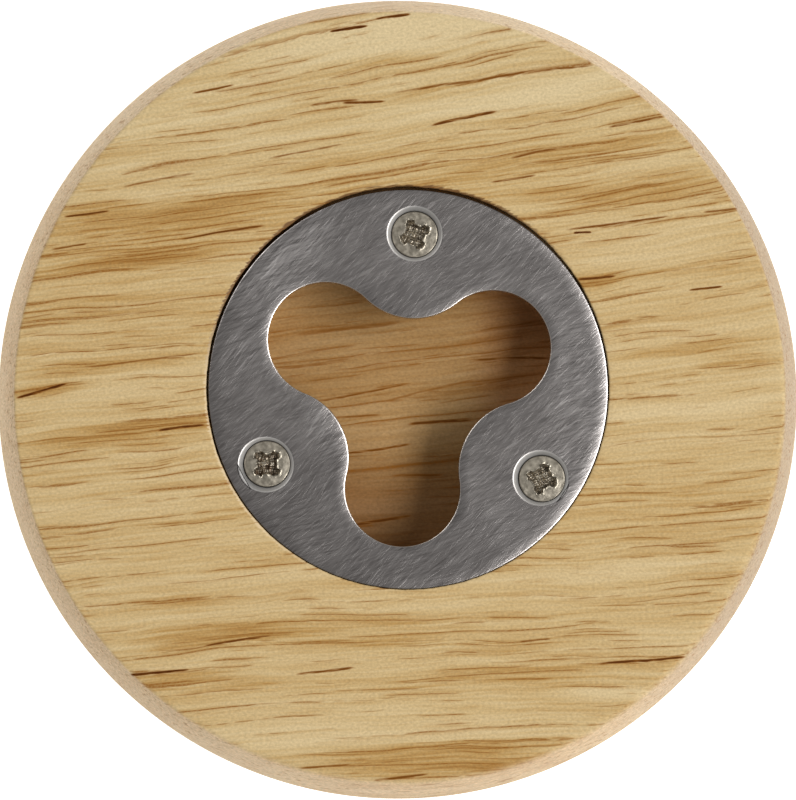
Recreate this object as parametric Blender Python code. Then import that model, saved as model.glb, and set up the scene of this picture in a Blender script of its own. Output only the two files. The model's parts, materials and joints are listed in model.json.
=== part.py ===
"""Round wooden bottle opener.

A turned hardwood disc is the handle. A round steel plate with a three-lobed mouth is let
flush into its face and held by three countersunk cross-recess wood screws. Under the mouth
the wood is routed away, so that a crown cap's skirt can pass behind the plate's teeth.

Frame: metres, +Z up. The disc's axis is Z, its underside lies on Z = 0, and the opener
side faces +Z. The wood grain runs along X.
"""
import math

import bmesh
import bpy
from mathutils import Matrix, Vector

MM = 0.001

# ---- wooden disc --------------------------------------------------------------------
DISC_RADIUS = 40.0 * MM          # at the widest ring, half way up the side
DISC_THICKNESS = 15.0 * MM
FACE_RADIUS = 38.4 * MM          # flat faces, up to the arris with the bowed side
SIDE_STEPS = 8                   # facets up the bowed side
DISC_SEGMENTS = 96

# ---- steel plate --------------------------------------------------------------------
PLATE_RADIUS = 19.9 * MM
PLATE_THICKNESS = 2.0 * MM
PLATE_CENTRE = (0.81 * MM, 0.73 * MM)     # the seat is routed a little off the disc's axis
PLATE_TURN = math.radians(-2.8)           # the plate sits turned a little clockwise
PLATE_SEGMENTS = 96

# The mouth and the holes are punched slightly off the blank's centre.
PATTERN_OFFSET = (-0.11 * MM, -0.29 * MM)

# Mouth: three round lobes joined by three round teeth that point at the centre.
LOBE_RADIUS = 5.74 * MM
LOBE_OUT = 9.66 * MM             # lobe centre from the mouth's centre
TOOTH_RADIUS = 6.84 * MM
LOBE_ANGLES = (-90.0, 30.0, 150.0)
LOBE_STEPS = 20
TOOTH_STEPS = 10

# ---- screws and their holes ---------------------------------------------------------
SCREW_CIRCLE = 15.82 * MM        # radius of the hole circle
SCREW_ANGLES = {"screw_top": 90.0, "screw_left": 210.0, "screw_right": -30.0}
SCREW_TURNS = {"screw_top": 25.0, "screw_left": 45.0, "screw_right": -15.0}
HEAD_RADIUS = 2.28 * MM
HEAD_RIM = 0.12 * MM             # short cylindrical land round the head
HEAD_DROP = 0.08 * MM            # top of the head below the plate's face
SHANK_RADIUS = 1.22 * MM
SCREW_LENGTH = 10.0 * MM
SCREW_SEGMENTS = 32
RECESS_REACH = 1.45 * MM         # cross recess, centre to the end of an arm
RECESS_WIDTH = 0.72 * MM
RECESS_DEPTH = 1.25 * MM
SINK_RADIUS = 2.73 * MM          # mouth of the 90 degree countersink
HOLE_RADIUS = 1.60 * MM          # clearance hole through the plate
PILOT_RADIUS = 1.55 * MM

# ---- seat and cap pocket in the wood -----------------------------------------------
GAP = 0.30 * MM                  # kept between neighbouring pieces
SEAT_RADIUS = 20.33 * MM
SEAT_SHIFT = (-0.04 * MM, 0.11 * MM)      # seat's centre from the plate's
POCKET_DEPTH = 5.7 * MM          # below the seat's floor
POCKET_LOBE_RADIUS = 6.3 * MM    # round the same centres as the mouth's lobes
POCKET_CORE_RADIUS = 11.5 * MM   # central bore, behind the teeth
POCKET_STEPS = 96

PLATE_TOP = DISC_THICKNESS
PLATE_BOTTOM = PLATE_TOP - PLATE_THICKNESS
SEAT_FLOOR = PLATE_BOTTOM - GAP
POCKET_FLOOR = SEAT_FLOOR - POCKET_DEPTH
HEAD_TOP = PLATE_TOP - HEAD_DROP
SCREW_TIP = HEAD_TOP - SCREW_LENGTH
PILOT_BOTTOM = SCREW_TIP - GAP


# ---- helpers ------------------------------------------------------------------------
def clear_scene():
    for ob in list(bpy.data.objects):
        bpy.data.objects.remove(ob, do_unlink=True)
    for mesh in list(bpy.data.meshes):
        bpy.data.meshes.remove(mesh)


def material(name, colour, metallic, roughness):
    mat = bpy.data.materials.new(name)
    mat.use_nodes = True
    bsdf = mat.node_tree.nodes["Principled BSDF"]
    bsdf.inputs["Base Color"].default_value = (*colour, 1.0)
    bsdf.inputs["Metallic"].default_value = metallic
    bsdf.inputs["Roughness"].default_value = roughness
    mat.diffuse_color = (*colour, 1.0)
    return mat


def add_object(name, bm, parent, location=(0.0, 0.0, 0.0), turn=0.0, mat=None):
    bmesh.ops.recalc_face_normals(bm, faces=bm.faces[:])
    mesh = bpy.data.meshes.new(name)
    bm.to_mesh(mesh)
    bm.free()
    ob = bpy.data.objects.new(name, mesh)
    bpy.context.scene.collection.objects.link(ob)
    ob.parent = parent
    ob.location = location
    ob.rotation_euler = (0.0, 0.0, turn)
    if mat is not None:
        mesh.materials.append(mat)
    return ob


def as_cutter(ob):
    ob.hide_render = True
    ob.display_type = "WIRE"
    return ob


def cut(target, cutter, name):
    mod = target.modifiers.new(name, "BOOLEAN")
    mod.operation = "DIFFERENCE"
    mod.solver = "EXACT"
    mod.object = cutter


def smooth(ob, angle=35.0):
    ob.data.shade_smooth()
    ob.data.set_sharp_from_angle(angle=math.radians(angle))


def turned(profile, segments):
    """Closed body of revolution round Z from (radius, z) points, first and last capped."""
    bm = bmesh.new()
    rings = []
    for radius, z in profile:
        if radius <= 0.0:
            rings.append([bm.verts.new((0.0, 0.0, z))])
        else:
            rings.append([
                bm.verts.new((radius * math.cos(2 * math.pi * k / segments),
                              radius * math.sin(2 * math.pi * k / segments), z))
                for k in range(segments)])
    for low, high in zip(rings, rings[1:]):
        for k in range(segments):
            n = (k + 1) % segments
            if len(low) == 1:
                bm.faces.new((low[0], high[k], high[n]))
            elif len(high) == 1:
                bm.faces.new((low[k], low[n], high[0]))
            else:
                bm.faces.new((low[k], low[n], high[n], high[k]))
    for ring in (rings[0], rings[-1]):
        if len(ring) > 1:
            bm.faces.new(ring)
    return bm


def prism(outline, z_low, z_high):
    bm = bmesh.new()
    base = bm.faces.new([bm.verts.new((x, y, z_low)) for x, y in outline])
    grown = bmesh.ops.extrude_face_region(bm, geom=[base])
    verts = [v for v in grown["geom"] if isinstance(v, bmesh.types.BMVert)]
    bmesh.ops.translate(bm, verts=verts, vec=(0.0, 0.0, z_high - z_low))
    return bm


def arc(centre, radius, start, end, steps):
    """Points from start towards end (radians), the last one left out."""
    return [(centre[0] + radius * math.cos(start + (end - start) * k / steps),
             centre[1] + radius * math.sin(start + (end - start) * k / steps))
            for k in range(steps)]


def mouth_outline():
    """Three lobe arcs, each tangent to the two tooth arcs beside it."""
    reach = LOBE_RADIUS + TOOTH_RADIUS
    half = math.radians(60.0)
    tooth_out = LOBE_OUT * math.cos(half) + math.sqrt(
        reach ** 2 - (LOBE_OUT * math.sin(half)) ** 2)
    # direction from a lobe's centre to the next tooth's centre, from the lobe's own axis
    dx = tooth_out * math.cos(half) - LOBE_OUT
    dy = tooth_out * math.sin(half)
    beta = math.atan2(dy, dx)
    points = []
    for degrees in LOBE_ANGLES:
        axis = math.radians(degrees)
        lobe = (LOBE_OUT * math.cos(axis), LOBE_OUT * math.sin(axis))
        points += arc(lobe, LOBE_RADIUS, axis - beta, axis + beta, LOBE_STEPS)
        tooth_axis = axis + half
        tooth = (tooth_out * math.cos(tooth_axis), tooth_out * math.sin(tooth_axis))
        start = axis + beta + math.pi
        end = tooth_axis + math.pi + (tooth_axis + math.pi - start)
        points += arc(tooth, TOOTH_RADIUS, start, end, TOOTH_STEPS)
    return points


def pocket_outline():
    """A central bore opened out by a bore at each lobe, as one outline round the centre."""
    def lobe_reach(delta):
        root = POCKET_LOBE_RADIUS ** 2 - (LOBE_OUT * math.sin(delta)) ** 2
        if root <= 0.0 or math.cos(delta) <= 0.0:
            return 0.0
        return LOBE_OUT * math.cos(delta) + math.sqrt(root)

    # angle from a lobe's axis at which its bore meets the central bore
    meet = math.acos((POCKET_CORE_RADIUS ** 2 + LOBE_OUT ** 2 - POCKET_LOBE_RADIUS ** 2)
                     / (2 * POCKET_CORE_RADIUS * LOBE_OUT))
    points = []
    lobe_steps = POCKET_STEPS // 6
    core_steps = POCKET_STEPS // 3 - lobe_steps
    for degrees in LOBE_ANGLES:
        axis = math.radians(degrees)
        for k in range(lobe_steps):
            delta = -meet + 2 * meet * k / lobe_steps
            r = max(lobe_reach(delta), POCKET_CORE_RADIUS)
            points.append((r * math.cos(axis + delta), r * math.sin(axis + delta)))
        core_span = math.radians(120.0) - 2 * meet
        for k in range(core_steps):
            a = axis + meet + core_span * k / core_steps
            points.append((POCKET_CORE_RADIUS * math.cos(a), POCKET_CORE_RADIUS * math.sin(a)))
    return points


def side_profile():
    """Bowed side: an arc from the lower arris out to the widest ring and back in."""
    run = DISC_RADIUS - FACE_RADIUS
    half = DISC_THICKNESS / 2
    bow = (run ** 2 + half ** 2) / (2 * run)
    points = []
    for k in range(SIDE_STEPS + 1):
        z = DISC_THICKNESS * k / SIDE_STEPS
        points.append((DISC_RADIUS - bow + math.sqrt(bow ** 2 - (z - half) ** 2), z))
    return points


def cross_cutter(reach, width, depth):
    """Tapered four-armed punch; its top stands clear of the head, its tip is blunt."""
    bm = bmesh.new()
    lift = 0.4 * MM
    loops = []
    for z, arm, half in ((lift, reach * (1 + 0.35 * lift / depth), width / 2),
                         (0.0, reach, width / 2),
                         (-depth, reach * 0.42, width * 0.36)):
        corners = []
        for quarter in range(4):
            turn = Matrix.Rotation(math.radians(90.0 * quarter), 2)
            for x, y in ((half, -half), (arm, -half), (arm, half)):
                corner = turn @ Vector((x, y))
                corners.append(bm.verts.new((corner.x, corner.y, z)))
        loops.append(corners)
    for high, low in zip(loops, loops[1:]):
        count = len(high)
        for k in range(count):
            n = (k + 1) % count
            bm.faces.new((high[k], high[n], low[n], low[k]))
    bm.faces.new(loops[0])
    bm.faces.new(loops[-1])
    return bm


# ---- the opener ---------------------------------------------------------------------
def build():
    clear_scene()
    wood = material("wood_light_hardwood", (0.60, 0.43, 0.22), 0.0, 0.55)
    steel = material("steel_brushed_stainless", (0.42, 0.42, 0.42), 1.0, 0.35)
    nickel = material("screw_nickel_plated", (0.50, 0.48, 0.42), 1.0, 0.30)

    root = bpy.data.objects.new("opener_origin", None)
    bpy.context.scene.collection.objects.link(root)

    # The mouth and the screws belong to one pattern on the plate.
    turn = Matrix.Rotation(PLATE_TURN, 2)
    pattern = Vector(PLATE_CENTRE) + Vector(PATTERN_OFFSET)

    def on_plate(radius, degrees):
        a = math.radians(degrees)
        return pattern + turn @ Vector((radius * math.cos(a), radius * math.sin(a)))

    # wooden disc
    body = add_object("wooden_body", turned(side_profile(), DISC_SEGMENTS), root, mat=wood)
    seat_profile = [(SEAT_RADIUS, SEAT_FLOOR), (SEAT_RADIUS, PLATE_TOP + 2 * MM)]
    seat = as_cutter(add_object(
        "seat_cutter", turned(seat_profile, PLATE_SEGMENTS), root,
        (PLATE_CENTRE[0] + SEAT_SHIFT[0], PLATE_CENTRE[1] + SEAT_SHIFT[1], 0.0), PLATE_TURN))
    pocket = as_cutter(add_object(
        "pocket_cutter", prism(pocket_outline(), POCKET_FLOOR, SEAT_FLOOR + 1 * MM), root,
        (pattern.x, pattern.y, 0.0), PLATE_TURN))
    cut(body, seat, "seat")
    cut(body, pocket, "cap_pocket")

    # steel plate
    plate = add_object(
        "opener_plate",
        turned([(PLATE_RADIUS, 0.0), (PLATE_RADIUS, PLATE_THICKNESS)], PLATE_SEGMENTS), root,
        (PLATE_CENTRE[0], PLATE_CENTRE[1], PLATE_BOTTOM), PLATE_TURN, steel)
    mouth = as_cutter(add_object(
        "mouth_cutter", prism(mouth_outline(), PLATE_BOTTOM - 1 * MM, PLATE_TOP + 1 * MM), root,
        (pattern.x, pattern.y, 0.0), PLATE_TURN))
    cut(plate, mouth, "mouth")

    # screws, their countersunk holes in the plate and pilot holes in the wood
    sink_depth = SINK_RADIUS - HOLE_RADIUS
    hole_profile = [
        (HOLE_RADIUS, PLATE_BOTTOM - 1 * MM),
        (HOLE_RADIUS, PLATE_TOP - sink_depth),
        (SINK_RADIUS + 1 * MM, PLATE_TOP + 1 * MM),
    ]
    pilot_profile = [
        (0.0, PILOT_BOTTOM),
        (PILOT_RADIUS, PILOT_BOTTOM + 1.5 * MM),
        (PILOT_RADIUS, SEAT_FLOOR + 1 * MM),
    ]
    neck = HEAD_TOP - HEAD_RIM - (HEAD_RADIUS - SHANK_RADIUS)
    screw_profile = [
        (0.0, SCREW_TIP),
        (SHANK_RADIUS * 0.62, SCREW_TIP + 1.5 * MM),
        (SHANK_RADIUS, SCREW_TIP + 2.8 * MM),
        (SHANK_RADIUS, neck),
        (HEAD_RADIUS, HEAD_TOP - HEAD_RIM),
        (HEAD_RADIUS, HEAD_TOP),
    ]
    for name, degrees in SCREW_ANGLES.items():
        place = on_plate(SCREW_CIRCLE, degrees)
        at = (place.x, place.y, 0.0)
        own_turn = math.radians(SCREW_TURNS[name])
        hole = as_cutter(add_object(name + "_hole_cutter", turned(hole_profile, SCREW_SEGMENTS),
                                    root, at, own_turn))
        pilot = as_cutter(add_object(name + "_pilot_cutter", turned(pilot_profile, SCREW_SEGMENTS),
                                     root, at, own_turn))
        cut(plate, hole, name + "_hole")
        cut(body, pilot, name + "_pilot")
        screw_zero = [(r, z - HEAD_TOP) for r, z in screw_profile]
        screw = add_object(name, turned(screw_zero, SCREW_SEGMENTS), root,
                           (place.x, place.y, HEAD_TOP), own_turn, nickel)
        recess = as_cutter(add_object(name + "_recess_cutter",
                                      cross_cutter(RECESS_REACH, RECESS_WIDTH, RECESS_DEPTH),
                                      root, (place.x, place.y, HEAD_TOP), own_turn))
        cut(screw, recess, "cross_recess")
        smooth(screw)

    smooth(body)
    smooth(plate)


build()
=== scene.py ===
"""Looks for the round wooden bottle opener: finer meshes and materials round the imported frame.

All lengths in the mesh code are millimetres in the frame's axes, scaled to metres at the end.
"""
import math

import bmesh
import bpy
import numpy as np
from mathutils import Matrix, Vector
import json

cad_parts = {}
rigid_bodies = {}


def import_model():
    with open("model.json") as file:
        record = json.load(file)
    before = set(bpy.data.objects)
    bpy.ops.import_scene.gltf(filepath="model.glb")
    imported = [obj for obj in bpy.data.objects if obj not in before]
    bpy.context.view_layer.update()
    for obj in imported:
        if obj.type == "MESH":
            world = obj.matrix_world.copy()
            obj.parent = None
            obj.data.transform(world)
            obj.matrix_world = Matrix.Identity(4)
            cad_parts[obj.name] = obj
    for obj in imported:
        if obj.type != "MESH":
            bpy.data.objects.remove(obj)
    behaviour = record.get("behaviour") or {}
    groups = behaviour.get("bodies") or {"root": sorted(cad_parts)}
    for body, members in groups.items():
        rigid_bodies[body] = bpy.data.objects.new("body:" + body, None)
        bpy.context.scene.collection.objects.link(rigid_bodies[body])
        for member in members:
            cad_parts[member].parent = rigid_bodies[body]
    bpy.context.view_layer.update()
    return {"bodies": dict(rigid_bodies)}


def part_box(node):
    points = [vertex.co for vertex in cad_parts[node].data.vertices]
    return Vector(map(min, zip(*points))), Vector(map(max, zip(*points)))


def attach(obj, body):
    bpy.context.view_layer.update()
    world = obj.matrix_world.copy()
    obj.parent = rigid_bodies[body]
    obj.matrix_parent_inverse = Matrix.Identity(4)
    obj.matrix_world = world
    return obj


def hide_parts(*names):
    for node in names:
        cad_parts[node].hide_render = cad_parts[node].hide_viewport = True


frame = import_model()
ROOT = next(iter(frame["bodies"]))
MM = 0.001

# ---- sizes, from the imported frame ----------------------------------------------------
_lo, _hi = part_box("wooden_body")
DISC_R = (_hi.x - _lo.x) / 2 / MM
TOP = _hi.z / MM
_lo, _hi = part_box("opener_plate")
PLATE_R = (_hi.x - _lo.x) / 2 / MM
PLATE_C = ((_hi.x + _lo.x) / 2 / MM, (_hi.y + _lo.y) / 2 / MM)
PLATE_T = (_hi.z - _lo.z) / MM
SCREWS = {}
for _name in ("screw_top", "screw_left", "screw_right"):
    _lo, _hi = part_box(_name)
    SCREWS[_name] = ((_hi.x + _lo.x) / 2 / MM, (_hi.y + _lo.y) / 2 / MM)
PATTERN_C = (sum(p[0] for p in SCREWS.values()) / 3, sum(p[1] for p in SCREWS.values()) / 3)
TURN = math.atan2(SCREWS["screw_top"][1] - PATTERN_C[1],
                  SCREWS["screw_top"][0] - PATTERN_C[0]) - math.pi / 2

# ---- sizes repeated from the part's source -------------------------------------------
FACE_R = 38.4
LOBE_R, LOBE_OUT, TOOTH_R = 5.74, 9.66, 6.84
LOBES = (-90.0, 30.0, 150.0)
SINK_R, HOLE_R, HEAD_R = 2.73, 1.60, 2.28
POCKET_LOBE_R, POCKET_CORE_R = 6.3, 11.5
POCKET_FLOOR = 7.0
SHANK_R, SCREW_LEN = 1.22, 10.0

# The real plate sits hard against one side of its seat, nearer than the solids can.
SEAT_R = 20.08
SEAT_C = (PLATE_C[0] - 0.04, PLATE_C[1] + 0.13)
HEAD_Z = TOP - 0.22
# the screws were driven a little out of line with their countersinks
SCREW_HEADS = {name: (SCREWS[name][0] + dx, SCREWS[name][1] + dy) for name, dx, dy in (
    ("screw_top", 0.0, -0.07), ("screw_left", 0.10, 0.09), ("screw_right", 0.12, -0.05))}
# how much painted shade and dirt darken each screw's recess
SCREW_SHADE_AND_DIRT = {"screw_top": 0.42, "screw_left": 0.98, "screw_right": 0.28}
SCREW_TURNS = {"screw_top": 25.0, "screw_left": 45.0, "screw_right": -15.0}


# ---- small numeric helpers -----------------------------------------------------------
def smoothstep(a, b, x):
    t = np.clip((x - a) / (b - a), 0.0, 1.0)
    return t * t * (3 - 2 * t)


def ring_noise(n, seed, octaves):
    """Periodic noise round a ring of n points: octaves is [(cells, amplitude), ...]."""
    rng = np.random.default_rng(seed)
    out = np.zeros(n)
    for cells, amp in octaves:
        knots = rng.uniform(-1, 1, cells)
        t = np.arange(n) * cells / n
        i = t.astype(int)
        f = t - i
        f = f * f * (3 - 2 * f)
        out += amp * (knots[i % cells] * (1 - f) + knots[(i + 1) % cells] * f)
    return out


def circle(centre, radius, z, n, phase=0.0):
    a = 2 * np.pi * np.arange(n) / n + phase
    r = np.broadcast_to(radius, (n,))
    return np.stack([centre[0] + r * np.cos(a), centre[1] + r * np.sin(a),
                     np.broadcast_to(z, (n,))], 1)


def mesh_object(name, verts, faces, mat, smooth=True, sharp=None):
    mesh = bpy.data.meshes.new(name)
    mesh.from_pydata([tuple(v) for v in (np.asarray(verts) * MM)], [], faces)
    mesh.validate()
    bm = bmesh.new()
    bm.from_mesh(mesh)
    bmesh.ops.recalc_face_normals(bm, faces=bm.faces[:])
    bm.to_mesh(mesh)
    bm.free()
    ob = bpy.data.objects.new(name, mesh)
    bpy.context.scene.collection.objects.link(ob)
    mesh.materials.append(mat)
    if smooth:
        mesh.shade_smooth()
        if sharp is not None:
            mesh.set_sharp_from_angle(angle=math.radians(sharp))
    return ob


def skin(rings, cap_first=True, cap_last=True):
    """Quads between closed rings of equal size; ends fanned to a centre point."""
    n = len(rings[0])
    verts = [p for ring in rings for p in ring]
    faces = []
    for r in range(len(rings) - 1):
        a, b = r * n, (r + 1) * n
        for k in range(n):
            m = (k + 1) % n
            faces.append((a + k, a + m, b + m, b + k))
    for want, base in ((cap_first, 0), (cap_last, (len(rings) - 1) * n)):
        if want:
            c = len(verts)
            verts.append(np.mean(rings[0 if base == 0 else -1], 0))
            faces += [(base + k, base + (k + 1) % n, c) for k in range(n)]
    return verts, faces


# ---- shader helpers ------------------------------------------------------------------
class Nodes:
    """Thin wrapper for building a node tree by calls."""

    def __init__(self, name):
        self.mat = bpy.data.materials.new(name)
        self.mat.use_nodes = True
        self.tree = self.mat.node_tree
        self.bsdf = self.tree.nodes["Principled BSDF"]

    def _in(self, socket, value):
        if isinstance(value, bpy.types.NodeSocket):
            self.tree.links.new(value, socket)
        elif value is not None:
            socket.default_value = value

    def pos(self):
        tc = self.tree.nodes.new("ShaderNodeTexCoord")
        return self.vmath("SCALE", tc.outputs["Object"], scale=1000.0)

    def normal(self):
        return self.tree.nodes.new("ShaderNodeTexCoord").outputs["Normal"]

    def math(self, op, a, b=None, c=None, clamp=False):
        n = self.tree.nodes.new("ShaderNodeMath")
        n.operation, n.use_clamp = op, clamp
        self._in(n.inputs[0], a)
        self._in(n.inputs[1], b)
        self._in(n.inputs[2], c)
        return n.outputs[0]

    def vmath(self, op, a, b=None, scale=None):
        n = self.tree.nodes.new("ShaderNodeVectorMath")
        n.operation = op
        self._in(n.inputs[0], a)
        if b is not None:
            self._in(n.inputs[1], b)
        if scale is not None:
            self._in(n.inputs["Scale"], scale)
        return n.outputs["Value"] if op in ("LENGTH", "DOT_PRODUCT", "DISTANCE") else n.outputs[0]

    def sep(self, v):
        n = self.tree.nodes.new("ShaderNodeSeparateXYZ")
        self._in(n.inputs[0], v)
        return n.outputs

    def comb(self, x, y, z):
        n = self.tree.nodes.new("ShaderNodeCombineXYZ")
        for s, v in zip(n.inputs, (x, y, z)):
            self._in(s, v)
        return n.outputs[0]

    def mapping(self, v, loc=(0, 0, 0), rot=(0, 0, 0), scale=(1, 1, 1), kind="POINT"):
        n = self.tree.nodes.new("ShaderNodeMapping")
        n.vector_type = kind
        self._in(n.inputs["Vector"], v)
        n.inputs["Location"].default_value = loc
        n.inputs["Rotation"].default_value = rot
        n.inputs["Scale"].default_value = scale
        return n.outputs[0]

    def noise(self, v, scale=1.0, detail=2.0, rough=0.5, distortion=0.0, colour=False):
        n = self.tree.nodes.new("ShaderNodeTexNoise")
        n.noise_dimensions = "3D"
        self._in(n.inputs["Vector"], v)
        n.inputs["Scale"].default_value = scale
        n.inputs["Detail"].default_value = detail
        n.inputs["Roughness"].default_value = rough
        n.inputs["Distortion"].default_value = distortion
        return n.outputs["Color" if colour else "Fac"]

    def voronoi(self, v, scale=1.0, randomness=1.0):
        n = self.tree.nodes.new("ShaderNodeTexVoronoi")
        n.voronoi_dimensions = "3D"
        n.feature = "F1"
        self._in(n.inputs["Vector"], v)
        n.inputs["Scale"].default_value = scale
        n.inputs["Randomness"].default_value = randomness
        return n.outputs["Distance"], n.outputs["Color"]

    def ramp(self, x, lo, hi, to_lo=0.0, to_hi=1.0, smooth=True):
        n = self.tree.nodes.new("ShaderNodeMapRange")
        n.interpolation_type = "SMOOTHSTEP" if smooth else "LINEAR"
        n.clamp = True
        self._in(n.inputs["Value"], x)
        for key, v in (("From Min", lo), ("From Max", hi), ("To Min", to_lo), ("To Max", to_hi)):
            self._in(n.inputs[key], v)
        return n.outputs["Result"]

    def mix(self, fac, a, b, blend="MIX"):
        n = self.tree.nodes.new("ShaderNodeMix")
        n.data_type, n.blend_type = "RGBA", blend
        n.clamp_factor = True
        self._in(n.inputs[0], fac)
        self._in(n.inputs[6], a if not isinstance(a, tuple) else (*a, 1.0)[:4])
        self._in(n.inputs[7], b if not isinstance(b, tuple) else (*b, 1.0)[:4])
        return n.outputs[2]

    def bump(self, height, strength, distance_mm, normal=None):
        n = self.tree.nodes.new("ShaderNodeBump")
        n.inputs["Strength"].default_value = strength
        n.inputs["Distance"].default_value = distance_mm * MM
        self._in(n.inputs["Height"], height)
        if normal is not None:
            self._in(n.inputs["Normal"], normal)
        return n.outputs[0]

    def set(self, **sockets):
        for key, v in sockets.items():
            self._in(self.bsdf.inputs[key.replace("_", " ")], v)
        return self.mat


# ---- wood ----------------------------------------------------------------------------
GRAIN = math.radians(6.5)        # the grain rises a little towards +X
FAN = 0.0020                     # and steeper at the top of the disc than at the bottom

# Broad figure of the board, in grain axes: centre along and across the grain, half length,
# half width, strength (negative is paler).
FIGURE = (
    (5.0, 30.2, 17.0, 0.9, 0.50), (0.0, 33.3, 9.0, 0.9, 0.45), (-21.0, 20.6, 13.0, 1.5, 0.95),
    (-28.0, 22.2, 5.0, 1.2, 0.70), (-24.0, 18.2, 12.0, 1.1, 0.55), (-23.0, 16.6, 12.0, 1.3, 0.70),
    (18.0, 22.2, 15.0, 1.0, 0.50), (25.0, 17.6, 10.0, 1.6, 0.75), (20.0, 9.4, 3.6, 1.0, 0.80),
    (-28.0, 6.3, 11.0, 1.0, 0.70), (-35.0, 4.7, 5.0, 0.9, 0.90), (-27.0, -0.3, 13.0, 1.2, 1.25),
    (-28.0, -1.9, 10.0, 0.8, 0.45), (29.0, 1.4, 9.0, 1.0, 0.85), (34.0, -0.4, 5.0, 0.9, 0.60),
    (-26.0, -17.6, 8.0, 1.0, 0.40), (-19.0, -21.8, 10.0, 1.4, 1.05), (-5.0, -24.0, 13.0, 1.0, 0.70),
    (-25.0, -25.6, 7.0, 1.0, 0.65), (10.0, -25.6, 8.0, 1.0, 0.60), (-12.0, -27.2, 13.0, 0.9, 0.50),
    (10.0, -28.8, 15.0, 1.0, 0.65), (0.0, -35.4, 15.0, 1.0, 0.75), (2.0, -37.2, 13.0, 1.1, 0.85),
    (5.0, 36.2, 16.0, 1.7, -0.75), (18.0, 28.2, 16.0, 1.3, -0.80), (25.0, 11.8, 9.0, 1.5, -0.40),
    (27.0, -4.9, 9.0, 1.0, -0.40), (18.0, -31.6, 6.0, 1.2, -0.60), (22.0, -20.0, 9.0, 1.2, -0.40),
)

# The longest open pores: centre x, y, half length, half width, turn, darkness.
PORES = (
    (9.5, 31.8, 9.0, 0.13, 7.7, 0.55), (6.4, 27.7, 3.0, 0.16, 13.5, 0.75),
    (24.3, -26.3, 4.2, 0.14, 5.0, 0.80), (21.8, 17.3, 4.6, 0.12, 7.0, 0.60),
    (-17.7, 16.4, 3.8, 0.11, 9.3, 0.70), (-24.1, -27.5, 2.8, 0.15, 5.5, 0.95),
    (-16.2, -24.4, 3.0, 0.12, 8.7, 0.70), (-7.5, -27.3, 2.6, 0.13, 7.0, 0.65),
    (-25.8, 3.6, 5.2, 0.10, 7.6, 0.45), (-35.7, 0.6, 2.3, 0.14, 13.7, 0.95),
    (23.7, 27.5, 2.6, 0.12, 10.8, 0.60), (0.0, -37.9, 2.4, 0.13, 6.7, 0.60),
    (13.5, 24.3, 2.2, 0.14, 12.4, 0.55), (-21.8, -3.1, 2.1, 0.13, 7.7, 0.85),
    (-9.3, 24.5, 3.3, 0.11, 11.4, 0.45), (-6.5, 29.3, 2.2, 0.13, 7.4, 0.55),
    (-5.1, 36.6, 1.7, 0.13, 8.6, 0.95), (-24.0, 21.7, 3.2, 0.10, 10.8, 0.45),
    (-31.2, 18.3, 2.0, 0.13, 8.6, 0.75), (-18.6, 30.7, 1.9, 0.12, 11.6, 0.60),
    (11.3, 21.8, 2.0, 0.12, 8.3, 0.55), (-0.7, 37.9, 1.6, 0.14, 11.0, 0.80),
    (-7.5, -36.8, 2.3, 0.12, 4.1, 0.50), (19.6, 11.9, 1.7, 0.12, 4.5, 0.75),
    (30.5, 10.8, 1.5, 0.12, 6.6, 0.70), (32.1, 18.6, 1.6, 0.14, 6.2, 0.50),
    (-32.9, 15.0, 1.6, 0.11, 10.0, 0.55), (18.2, 16.4, 0.8, 0.13, 4.0, 1.00),
    (-3.6, 29.4, 1.9, 0.13, 5.0, 0.75), (13.4, -24.2, 1.4, 0.12, 3.4, 0.50),
)

# The same on the floor of the pocket.
FLOOR_PORES = (
    (-4.0, 0.6, 3.9, 0.10, 10.0, 0.75), (-4.7, -1.6, 2.2, 0.12, 3.0, 0.70),
    (-2.2, -4.9, 2.6, 0.15, 9.0, 0.85), (-1.6, -12.1, 2.2, 0.17, 11.0, 0.95),
    (-5.0, 7.2, 3.8, 0.22, 7.0, 0.55), (-8.3, 3.6, 2.6, 0.16, 9.0, 0.50),
    (11.4, 4.1, 3.2, 0.12, 2.0, 0.80), (4.3, -2.2, 2.4, 0.18, 5.0, 0.95),
    (2.0, -7.6, 1.9, 0.14, 3.0, 0.75), (3.0, 0.9, 3.6, 0.10, 14.0, 0.50),
)


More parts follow.
